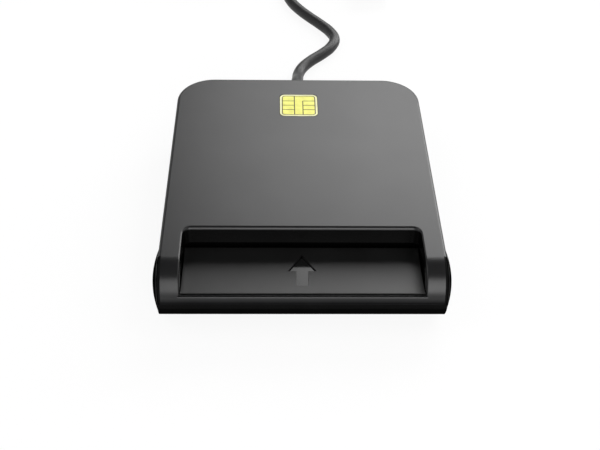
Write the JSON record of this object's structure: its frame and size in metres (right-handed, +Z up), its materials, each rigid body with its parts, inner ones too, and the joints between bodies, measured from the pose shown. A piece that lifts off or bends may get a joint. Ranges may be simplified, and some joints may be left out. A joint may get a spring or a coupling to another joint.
{
  "type": "smart card reader",
  "caption": "Flat desktop smart card reader with a rolled front edge, a finger recess leading a card into a slot, sprung contacts and a coiled USB lead.",
  "frame": {"origin": "on the desk under the middle of the case, with the rubber feet on z = 0", "axes": "+Y to the rear, where the lead leaves; -Y to the front, where the card goes in; +X to the right seen from the front; +Z up"},
  "size_m": [0.0893, 0.2182, 0.0166],
  "materials": {
    "case_satin": "fine satin",
    "case_base": "fine matt",
    "tray_gloss": "semi-gloss",
    "cap_gloss": "gloss",
    "emblem_gold": "printed satin",
    "label_blank": "satin film",
    "screw_steel": "zinc",
    "board_green": "solder mask",
    "frame_black": "moulded",
    "contact_gold": "gold plated",
    "lever_ivory": "moulded",
    "chip_black": "moulded",
    "can_steel": "drawn",
    "ceramic_brown": "matt",
    "resistor_black": "matt",
    "can_aluminium": "satin",
    "led_resin": "clear resin",
    "socket_ivory": "moulded",
    "wire_jacket": "coloured",
    "lead_pvc": "satin",
    "strap_fabric": "hook and loop",
    "foot_rubber": "matt",
    "grip_pvc": "satin",
    "shell_nickel": "nickel plated",
    "tongue_white": "moulded"
  },
  "bodies": {
    "reader": {"top_cover": "case_satin", "bottom_cover": "case_base", "card_tray": "tray_gloss", "end_cap_left": "cap_gloss", "end_cap_right": "cap_gloss", "chip_emblem": "emblem_gold", "foot_front_left": "foot_rubber", "foot_front_right": "foot_rubber", "foot_rear_left": "foot_rubber", "foot_rear_right": "foot_rubber", "rating_label": "label_blank", "front_screws": "screw_steel", "rear_screws": "screw_steel", "board_screws": "screw_steel", "circuit_board": "board_green", "connector_frame": "frame_black", "contact_tails": "contact_gold", "switch_housing": "frame_black", "controller_chip": "chip_black", "crystal": "can_steel", "ceramic_capacitors": "ceramic_brown", "resistors": "resistor_black", "electrolytic_capacitor": "can_aluminium", "status_led": "led_resin", "board_socket": "socket_ivory", "socket_plug": "socket_ivory", "inner_wires": "wire_jacket", "strain_relief": "lead_pvc", "inner_jacket": "lead_pvc", "lead_tube": "lead_pvc", "lead_coil": "lead_pvc", "lead_tie": "strap_fabric", "lead_tail": "lead_pvc", "usb_grip": "grip_pvc", "usb_shell": "shell_nickel", "usb_tongue": "tongue_white", "usb_contacts": "contact_gold"},
    "rear_contacts": {"contact_c1": "contact_gold", "contact_c2": "contact_gold", "contact_c3": "contact_gold", "contact_c4": "contact_gold"},
    "front_contacts": {"contact_c5": "contact_gold", "contact_c6": "contact_gold", "contact_c7": "contact_gold", "contact_c8": "contact_gold"},
    "card_switch": {"switch_lever": "lever_ivory"}
  },
  "joints": [
    {"name": "rear_contacts_flex", "type": "hinge", "parent": "reader", "child": "rear_contacts", "pos_m": [0, 0.00865, 0.01328], "axis": [1, 0, 0], "range_deg": [0, 5], "stiffness_Nm_per_rad": 0.05},
    {"name": "front_contacts_flex", "type": "hinge", "parent": "reader", "child": "front_contacts", "pos_m": [0, 0.00103, 0.01328], "axis": [1, 0, 0], "range_deg": [0, 5], "stiffness_Nm_per_rad": 0.05},
    {"name": "card_switch_turn", "type": "hinge", "parent": "reader", "child": "card_switch", "pos_m": [-0.0152, 0.0286, 0.0116], "axis": [0, 0, -1], "range_deg": [0, 8], "stiffness_Nm_per_rad": 0.01}
  ]
}
